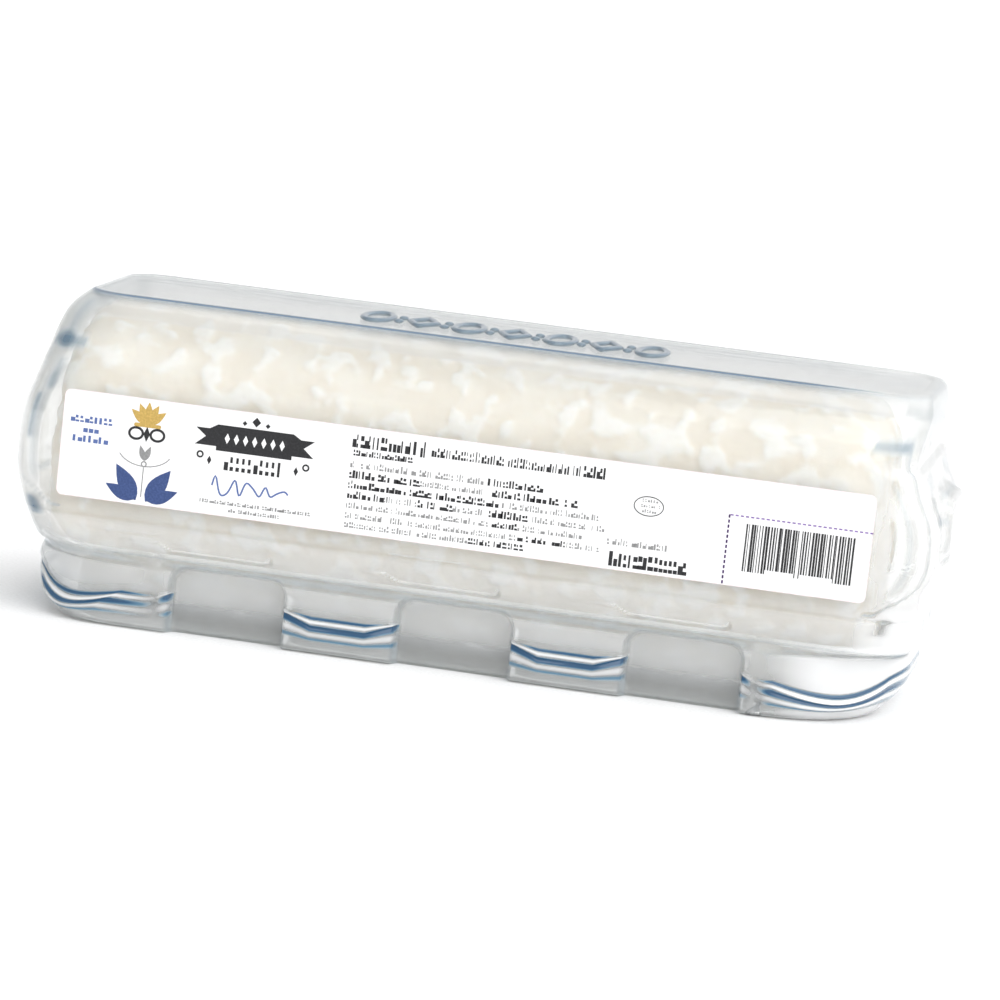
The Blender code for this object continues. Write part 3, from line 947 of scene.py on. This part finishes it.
def trayRing(row):
    frontHeight, depth, frontTone, endHeight, left, leftRadius, right, rightRadius, endTone = row
    ledge, spread = traySettings["ledge"]
    nearLedge = max(0.0, 1.0 - abs(frontHeight - ledge) / spread) * (depth > traySettings["footDepth"])
    ring, tones = [], []
    for x, y, endward in ringPoints(left, leftRadius, right, rightRadius, depth, sideStations(0.0)):
        # the ledge of a corner foot dips at the corner, then climbs to the waist at the end
        dip = math.sin(math.pi * min(1.0, endward / traySettings["dipReach"])) * nearLedge
        height = mixed(frontHeight, endHeight, smooth(endward, *traySettings["cornerTurn"]))
        height -= traySettings["dip"] * dip
        tone = mixed(frontTone, endTone, smooth(endward, *traySettings["cornerTone"]))
        if endward == 0.0 and depth > traySettings["floorDepth"]:
            height, wall, tone = footWall(x, row, height)
            y = math.copysign(wall, y)
        # painted light, stronger towards the right end, where the tone is low
        paintedLight = traySettings["paintedLight"] + traySettings["rightPaintedLight"] * smooth(x, *traySettings["rightStart"])
        tone -= paintedLight * (1.0 - smooth(tone, *traySettings["paintedLightLimits"]))
        wave = noise.noise(Vector((x, y, height)) / traySettings["waveSize"])
        inward = traySettings["waviness"] * (0.5 + 0.5 * wave)
        size = math.hypot(x, y)
        ring.append((x - inward * x / size, y - inward * y / size, height))
        tones.append(tone)
    return ring, tones


def makeTray():
    made = [trayRing(row) for row in roundedRows(trayProfile, 2)]
    vertices, faces = loftRings([ring for ring, tones in made])
    tones = [tone for ring, values in made for tone in values]
    plastic = plasticFinish("clearTray", traySettings["tint"], traySettings["milk"], traySettings["stops"])
    piece = addPiece("trayShell", vertices, faces, plastic, tones)
    recalculated(piece, upwards=False)
    addWall(piece, traySettings["wall"])
    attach(piece, "root")
    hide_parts("base_tray")
    print("tray:", len(piece.data.polygons), "faces")


# label
labelSettings = {
    "ink": 0.00004,          # how far the print stands off the paper
    "sunk": 0.00002,         # and how far it goes into it
    "seed": 7,
    "black": (0.006, 0.006, 0.008),
    "blue": (0.075, 0.125, 0.32),
    "navy": (0.028, 0.060, 0.19),
    "gold": (0.50, 0.33, 0.08),
    "grey": (0.24, 0.24, 0.24),
    "purple": (0.22, 0.13, 0.36),
    "edge": (0.80, 0.70, 0.72),
}
# rows of small strokes: start, end and foot of the row, spacing, stroke width and height in mm,
# share of it that varies, share of strokes left out
blackRows = (
    (72.7, 87.8, 21.3, 0.95, 0.55, 3.3, 0.10, 0.04),
    (89.6, 90.4, 21.0, 0.9, 0.35, 3.9, 0.05, 0.0),
    (92.4, 128.9, 21.5, 0.72, 0.30, 2.6, 0.35, 0.10),
    (130.0, 134.8, 21.5, 0.75, 0.50, 2.9, 0.30, 0.0),
    (73.2, 87.4, 19.3, 0.62, 0.38, 1.4, 0.10, 0.02),
    (106.9, 119.8, 16.3, 0.74, 0.46, 1.9, 0.30, 0.12),
    (72.7, 89.4, 13.7, 0.76, 0.48, 2.0, 0.30, 0.10),
    (106.7, 128.6, 13.7, 0.76, 0.48, 2.0, 0.30, 0.12),
    (72.7, 110.0, 11.2, 0.72, 0.44, 1.9, 0.30, 0.12),
    (72.7, 80.8, 8.7, 0.72, 0.44, 1.9, 0.30, 0.05),
    (90.3, 98.2, 8.7, 0.72, 0.44, 1.9, 0.30, 0.05),
    (108.0, 117.8, 8.7, 0.72, 0.44, 1.9, 0.30, 0.05),
    (109.0, 114.6, 6.3, 0.70, 0.40, 1.6, 0.30, 0.05),
    (115.6, 127.0, 3.8, 0.70, 0.42, 1.5, 0.10, 0.05),
    (103.6, 116.4, 1.5, 0.70, 0.44, 1.5, 0.10, 0.10),
    (137.2, 148.0, 0.9, 1.15, 0.72, 3.6, 0.20, 0.06),
    (149.6, 156.6, 0.9, 1.15, 0.72, 3.6, 0.20, 0.0),
    (41.4, 54.8, 11.4, 1.45, 0.62, 3.6, 0.08, 0.0),
)
greyRows = (
    (72.7, 105.2, 16.3, 0.66, 0.30, 1.8, 0.35, 0.14),
    (90.4, 105.6, 13.9, 0.60, 0.26, 1.5, 0.35, 0.12),
    (111.0, 134.4, 11.3, 0.62, 0.28, 1.6, 0.35, 0.14),
    (81.8, 89.6, 8.8, 0.62, 0.28, 1.6, 0.35, 0.12),
    (99.0, 107.2, 8.8, 0.62, 0.28, 1.6, 0.35, 0.12),
    (118.8, 136.0, 8.8, 0.62, 0.28, 1.6, 0.35, 0.14),
    (72.7, 108.2, 6.3, 0.62, 0.28, 1.5, 0.35, 0.14),
    (115.4, 131.2, 6.3, 0.62, 0.28, 1.5, 0.35, 0.12),
    (72.7, 114.8, 3.8, 0.62, 0.28, 1.5, 0.35, 0.14),
    (127.8, 135.2, 3.8, 0.62, 0.28, 1.5, 0.35, 0.10),
    (72.7, 102.8, 1.5, 0.62, 0.28, 1.5, 0.35, 0.14),
    (137.5, 152.4, 6.1, 0.66, 0.30, 1.7, 0.35, 0.12),
    (36.2, 63.4, 2.9, 0.62, 0.34, 0.9, 0.10, 0.10),
    (43.6, 56.0, 1.2, 0.62, 0.34, 0.9, 0.10, 0.10),
    (145.0, 148.4, 17.5, 0.60, 0.26, 0.8, 0.20, 0.0),
    (144.2, 149.2, 16.2, 0.60, 0.26, 0.8, 0.20, 0.1),
    (145.2, 148.2, 14.9, 0.60, 0.26, 0.8, 0.20, 0.0),
)
blueRows = (
    (2.0, 11.6, 18.5, 1.18, 0.66, 1.7, 0.08, 0.0),
    (5.4, 8.2, 16.1, 1.18, 0.66, 1.7, 0.08, 0.0),
    (2.9, 10.8, 13.7, 1.18, 0.66, 1.7, 0.08, 0.0),
)
purpleRows = (
    (166.6, 200.6, 17.0, 1.24, 0.78, 0.36, 0.0, 0.0),
)
purpleColumns = tuple((166.2, 166.3, 0.3 + 1.24 * step, 1.0, 0.36, 0.78, 0.0, 0.0) for step in range(14))
stripeRows = (
    (170.8, 176.0, 3.9, 0.62, 0.36, 11.6, 0.0, 0.05),
    (176.2, 182.8, 4.9, 0.66, 0.42, 10.6, 0.0, 0.08),
    (183.4, 184.4, 3.9, 0.62, 0.26, 11.6, 0.0, 0.0),
    (184.9, 192.4, 4.9, 0.66, 0.40, 10.6, 0.0, 0.08),
    (192.8, 196.8, 3.9, 0.62, 0.36, 11.6, 0.0, 0.05),
)


def strokePattern():
    # strokes standing side by side along each edge of the seed mesh
    pattern = Pattern("printedStrokes")
    depth, seed = pattern.size("Depth"), pattern.size("Seed", "NodeSocketInt")
    material = pattern.size("Material", "NodeSocketMaterial")
    curves = pattern.add("GeometryNodeMeshToCurve", {}, {"Mesh": pattern.start})
    points = pattern.add("GeometryNodeResampleCurve", {"mode": "LENGTH"}, {
        "Curve": curves, "Length": pattern.stored("pitch"),
    })
    chance = pattern.random(0.0, 1.0, seed)
    gap = pattern.stored("gap")
    left = pattern.add("FunctionNodeCompare", {"operation": "LESS_THAN"}, {0: chance, 1: gap})
    points = pattern.add("GeometryNodeDeleteGeometry", {"domain": "POINT"}, {
        "Geometry": points, "Selection": left,
    })
    # three kinds of stroke: a tall one, a low wide one, and one in two parts
    kinds = pattern.tree.nodes.new("GeometryNodeJoinGeometry")
    for blocks in (((1.4, 0.30, 0.15), (1.0, 0.42, 0.79)), ((1.7, 0.62, 0.31),), ((1.0, 1.0, 0.5),)):
        joined = pattern.tree.nodes.new("GeometryNodeJoinGeometry")
        for wide, high, middle in blocks:
            block = pattern.add("GeometryNodeMeshCube", {}, {"Size": (wide, 1.0, high)})
            block = pattern.add("GeometryNodeTransform", {}, {
                "Geometry": block, "Translation": (wide / 2, 0.0, middle),
            })
            pattern.tree.links.new(block.socket, joined.inputs[0])
        kind = Val(pattern, joined.outputs[0])
        kind = pattern.add("GeometryNodeGeometryToInstance", {}, {"Geometry": kind})
        pattern.tree.links.new(kind.socket, kinds.inputs[0])
    varied = pattern.stored("vary")
    choice = pattern.random(0.0, 2.99, seed + 3) * (20.0 * varied).clamp()
    high = pattern.stored("high") * (1.0 - varied * pattern.random(0.0, 1.0, seed + 1))
    uneven = (100.0 * gap).clamp() * pattern.random(-0.5, 0.5, seed + 2)
    wide = pattern.stored("wide") * (1.0 + uneven)
    scale = pattern.add("ShaderNodeCombineXYZ", {}, {"X": wide, "Y": depth, "Z": high})
    strokes = pattern.add("GeometryNodeInstanceOnPoints", {}, {
        "Points": points, "Instance": Val(pattern, kinds.outputs[0]), "Pick Instance": True,
        "Instance Index": choice.maths("FLOOR", choice), "Scale": scale,
    })
    pattern.give(strokes, material)
    return pattern


def printRows(pattern, name, rows, material, front, corner):
    # front is the paper's surface, corner the label's lower left corner
    mesh = bpy.data.meshes.new(name + "Seed")
    places, edges, columns = [], [], {"pitch": [], "wide": [], "high": [], "vary": [], "gap": []}
    for start, end, foot, pitch, wide, high, vary, gap in rows:
        edges.append((len(places), len(places) + 1))
        for along in (start, end):
            places.append((corner[0] + along / 1000, front, corner[1] + foot / 1000))
            for key, value in zip(columns, (pitch / 1000, wide / 1000, high / 1000, vary, gap)):
                columns[key].append(value)
    mesh.from_pydata(places, edges, [])
    for key, values in columns.items():
        mesh.attributes.new(key, "FLOAT", "POINT").data.foreach_set("value", values)
    depth = 2 * labelSettings["ink"]
    return pattern.apply(name, mesh, {"Depth": depth, "Seed": labelSettings["seed"], "Material": material})


def addPrint(name, outlines, material, front, corner):
    # flat shapes given by their outlines in mm, each with a hole or none, made into thin slabs
    shape = bmesh.new()
    far = front + labelSettings["sunk"]
    for number, (outer, inner) in enumerate(outlines):
        # each shape stands off a little differently, so that none lie in one plane
        near = front - labelSettings["ink"] * (1.0 + 0.2 * (number % 6))
        loops = []
        for outline in (outer, inner):
            places = [(corner[0] + u / 1000, corner[1] + v / 1000) for u, v in outline]
            for y in (near, far):
                loops.append([shape.verts.new((x, y, z)) for x, z in places])
        outerNear, outerFar, innerNear, innerFar = loops
        for first, second in ((outerNear, outerFar), (innerNear, innerFar)):
            for index in range(len(first)):
                following = (index + 1) % len(first)
                shape.faces.new((first[index], first[following], second[following], second[index]))
        for first, second in ((outerNear, innerNear), (outerFar, innerFar)):
            if not second:
                shape.faces.new(first)
                continue
            for index in range(len(first)):
                following = (index + 1) % len(first)
                shape.faces.new((first[index], first[following], second[following], second[index]))
    bmesh.ops.recalc_face_normals(shape, faces=shape.faces)
    mesh = bpy.data.meshes.new(name)
    shape.to_mesh(mesh)
    shape.free()
    mesh.materials.append(material)
    piece = bpy.data.objects.new(name, mesh)
    bpy.context.scene.collection.objects.link(piece)
    return piece


def oval(u, v, wide, high, steps=40):
    angles = [math.radians(360.0 * step / steps) for step in range(steps)]
    return [(u + wide / 2 * math.cos(angle), v + high / 2 * math.sin(angle)) for angle in angles]


def ringOutline(u, v, wide, high, stroke):
    # an oval and the smaller oval left out of it
    return oval(u, v, wide, high), oval(u, v, wide - 2 * stroke, high - 2 * stroke)


def lozenge(u, v, wide, high):
    return [(u + wide / 2, v), (u, v + high / 2), (u - wide / 2, v), (u, v - high / 2)]


def leaf(u, v, length, width, lean):
    # a pointed leaf whose foot is at u, v
    side = [(length * step / 8, width / 2 * math.sin(math.pi * (step / 8) ** 0.8)) for step in range(9)]
    outline = side + [(along, -across) for along, across in reversed(side[1:-1])]
    turn = math.radians(90.0 - lean)
    cos, sin = math.cos(turn), math.sin(turn)
    return [(u + along * cos - across * sin, v + along * sin + across * cos) for along, across in outline]


def ribbon(points, width):
    # a band of even width along a line of points
    left, right = [], []
    for index, (u, v) in enumerate(points):
        before, after = points[max(index - 1, 0)], points[min(index + 1, len(points) - 1)]
        length = math.hypot(after[0] - before[0], after[1] - before[1])
        across = ((before[1] - after[1]) / length * width / 2, (after[0] - before[0]) / length * width / 2)
        left.append((u + across[0], v + across[1]))
        right.append((u - across[0], v - across[1]))
    return left + right[::-1]


def roundedSlab(low, high, radius, steps=6):
    outline = []
    left, right = low[0] + radius, high[0] - radius
    foot, top = low[1] + radius, high[1] - radius
    for u, v, start in ((right, top, 0), (left, top, 90), (left, foot, 180), (right, foot, 270)):
        for step in range(steps + 1):
            angle = math.radians(start + 90 * step / steps)
            outline.append((u + radius * math.cos(angle), v + radius * math.sin(angle)))
    return outline


def labelPrint(width, height):
    # every printed shape but the strokes: its ink and its outlines, in mm from the lower left corner
    banner = [
        (33.6, 21.2), (36.2, 19.2), (33.6, 17.0), (39.0, 17.0), (39.0, 16.0), (58.0, 16.0), (58.0, 17.0),
        (63.4, 17.0), (60.8, 19.2), (63.4, 21.2), (60.0, 21.2), (58.0, 22.4), (39.0, 22.4), (37.0, 21.2),
    ]
    wave = []
    for step in range(59):
        swing = math.sin(0.5 * step + 0.9 * math.sin(0.31 * step))
        wave.append((38.9 + 0.33 * step, 7.3 + (2.5 - 0.033 * step) * swing))
    bow = [math.radians(turn) for turn in range(205, 336, 10)]
    bow = [(21.4 + 7.0 * math.cos(turn), 14.2 + 4.6 * math.sin(turn)) for turn in bow]
    inset = 0.18
    rim = roundedSlab((inset, inset), (width - inset, height - inset), 1.42)
    return {
        "black": [
            (banner, ()),
            (lozenge(48.5, 24.1, 2.2, 2.4), ()),
            (lozenge(45.6, 23.5, 1.2, 1.2), ()),
            (lozenge(51.4, 23.5, 1.2, 1.2), ()),
            ringOutline(35.2, 14.6, 1.8, 1.8, 0.4),
            ringOutline(61.8, 14.6, 1.8, 1.8, 0.4),
            (lozenge(37.6, 13.4, 1.1, 2.2), ()),
            (lozenge(59.4, 13.4, 1.1, 2.2), ()),
            ringOutline(18.7, 17.6, 4.0, 3.4, 0.6),
            ringOutline(24.1, 17.6, 4.0, 3.4, 0.6),
            (lozenge(21.4, 17.6, 1.6, 3.8), ()),
            ringOutline(146.7, 16.5, 7.4, 4.9, 0.2),
        ],
        "gold": [
            *((leaf(21.4, 20.0, 5.6, 2.2, lean), ()) for lean in (-52, -26, 0, 26, 52)),
            (roundedSlab((18.0, 19.3), (24.8, 20.2), 0.4), ()),
        ],
        "navy": [
            (leaf(20.2, 1.0, 10.2, 4.4, -34), ()),
            (leaf(22.6, 1.0, 10.2, 4.4, 34), ()),
            (leaf(19.6, 1.1, 8.0, 3.2, -66), ()),
            (leaf(23.2, 1.1, 8.0, 3.2, 66), ()),
        ],
        "grey": [
            (ribbon(bow, 0.25), ()),
            (ribbon([(21.4, 2.0), (21.4, 9.4)], 0.25), ()),
            (leaf(21.4, 11.0, 4.0, 1.5, -20), ()),
            (leaf(21.4, 11.0, 4.0, 1.5, 20), ()),
            ringOutline(21.4, 10.2, 1.5, 1.5, 0.3),
        ],
        "blue": [(ribbon(wave, 0.42), ())],
        "edge": [(roundedSlab((0.0, 0.0), (width, height), 1.6), rim)],
    }


def makeLabel():
    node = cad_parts["label"]
    node.data.materials.clear()
    node.data.materials.append(paperFinish("labelPaper", (0.97, 0.97, 0.97), 0.45))
    low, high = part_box("label")
    front, corner = low[1], (low[0], low[2])
    width, height = 1000 * (high[0] - low[0]), 1000 * (high[2] - low[2])
    colours = ("black", "blue", "navy", "gold", "grey", "purple", "edge")
    inks = {name: inkFinish(name + "Ink", labelSettings[name]) for name in colours}
    pattern = strokePattern()
    pieces = []
    for name, rows, ink in (
        ("blackStrokes", blackRows, "black"),
        ("greyStrokes", greyRows, "grey"),
        ("blueStrokes", blueRows, "blue"),
        ("dashes", purpleRows + purpleColumns, "purple"),
        ("stripes", stripeRows, "black"),
    ):
        pieces.append(printRows(pattern, name, rows, inks[ink], front, corner))
    for name, outlines in labelPrint(width, height).items():
        pieces.append(addPrint(name + "Print", outlines, inks[name], front, corner))
    lozenges = [(lozenge(41.6 + 2.3 * step, 19.2, 1.3, 2.6), ()) for step in range(7)]
    pale = inkFinish("paleInk", (0.9, 0.9, 0.9))
    pieces.append(addPrint("bannerLozenges", lozenges, pale, front - labelSettings["ink"], corner))
    for piece in pieces:
        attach(piece, "root")
    print("label print:", len(pieces), "pieces")


makeCamera()
makeSun("keyLight")
makeSun("backLight")
makeSky()
bpy.context.scene.view_settings.view_transform = "Standard"
bpy.context.scene.cycles.transparent_max_bounces = stageSettings["seeThrough"]
print("camera and light ready")

half = stageSettings["floorSize"] / 2
floor = addPiece(
    "floor",
    [(-half, -half, 0.0), (half, -half, 0.0), (half, half, 0.0), (-half, half, 0.0)],
    [(0, 1, 2, 3)],
    paperFinish("paleFloor", stageSettings["floorColour"], 0.9),
)

makeLog()
makeLid()
makeTray()
makeLabel()
